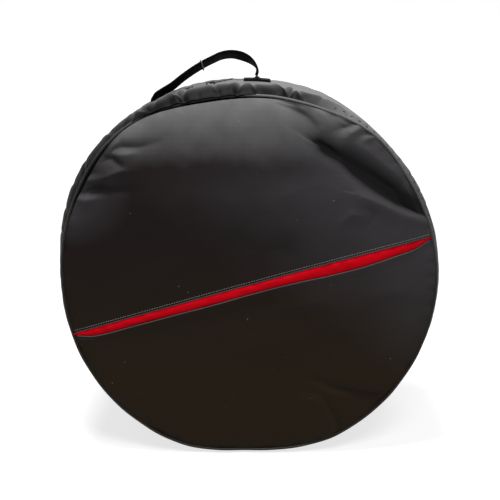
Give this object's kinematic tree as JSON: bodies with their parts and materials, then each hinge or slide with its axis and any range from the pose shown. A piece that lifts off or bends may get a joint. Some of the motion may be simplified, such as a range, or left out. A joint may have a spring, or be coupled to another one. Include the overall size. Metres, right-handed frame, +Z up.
{
  "type": "snare drum bag",
  "caption": "Round padded drum bag standing on its rim, with a zipped front lid, a slash pocket and a webbing handle.",
  "frame": {"origin": "middle of the bag's footprint on the floor", "axes": "+Z up, front panel with the pocket towards -Y, +X to the right seen from the front"},
  "size_m": [0.4, 0.18, 0.4324],
  "materials": {
    "shell": "coated black nylon with a soft grey sheen",
    "piping": "worn satin piping",
    "foam": "matt closed-cell foam",
    "lining": "plain weave lining",
    "pocket_liner": "red nylon",
    "hem": "folded and topstitched hem",
    "webbing": "ribbed webbing",
    "thread": "pale thread",
    "zip": "black coil zip",
    "slider": "dark plated zip metal"
  },
  "bodies": {
    "root": {"back_panel": "shell", "back_foam": "foam", "back_lining": "lining", "back_piping": "piping", "back_seam_binding": "hem", "body_wall": "shell", "body_wall_foam": "foam", "body_wall_lining": "lining", "hinge_web": "shell", "hinge_web_foam": "foam", "hinge_web_lining": "lining", "zip_tape_body": "zip", "zip_coil_body": "zip", "zip_end_tab_left": "shell", "zip_end_tab_right": "shell", "handle_patch_left": "webbing", "handle_patch_right": "webbing"},
    "lid": {"front_upper_panel": "shell", "pocket_front": "shell", "pocket_back": "pocket_liner", "pocket_hem": "hem", "pocket_mouth_binding": "hem", "front_foam": "foam", "front_lining": "lining", "front_piping": "piping", "front_seam_binding": "hem", "lid_skirt": "shell", "lid_skirt_foam": "foam", "lid_skirt_lining": "lining", "zip_tape_lid": "zip", "zip_coil_lid": "zip"},
    "slider_left": {"zip_slider_left": "slider"},
    "slider_right": {"zip_slider_right": "slider"},
    "pull_left": {"pull_tab_left": "slider"},
    "pull_right": {"pull_tab_right": "slider"},
    "handle": {"handle_strap": "webbing", "strap_thread": "thread"}
  },
  "joints": [
    {"name": "lid_hinge", "type": "hinge", "parent": "root", "child": "lid", "pos_m": [0, -0.084, 0.004], "axis": [1, 0, 0], "range_deg": [0, 88]},
    {"name": "slider_left_run", "type": "hinge", "parent": "root", "child": "slider_left", "pos_m": [0, -0.043, 0.19318], "axis": [0, -1, 0], "range_deg": [0, 134]},
    {"name": "slider_right_run", "type": "hinge", "parent": "root", "child": "slider_right", "pos_m": [0, -0.043, 0.19318], "axis": [0, 1, 0], "range_deg": [0, 163]},
    {"name": "pull_left_flip", "type": "hinge", "parent": "slider_left", "child": "pull_left", "pos_m": [-0.06223, -0.043, 0.3882], "axis": [0, 1, 0], "range_deg": [0, 110]},
    {"name": "pull_right_flip", "type": "hinge", "parent": "slider_right", "child": "pull_right", "pos_m": [-0.04011, -0.043, 0.39392], "axis": [0, -1, 0], "range_deg": [0, 110]},
    {"name": "handle_swing", "type": "hinge", "parent": "root", "child": "handle", "pos_m": [-0.04832, 0.015, 0.38003], "axis": [0.9681, 0, 0.2504], "range_deg": [-21, 69]}
  ]
}
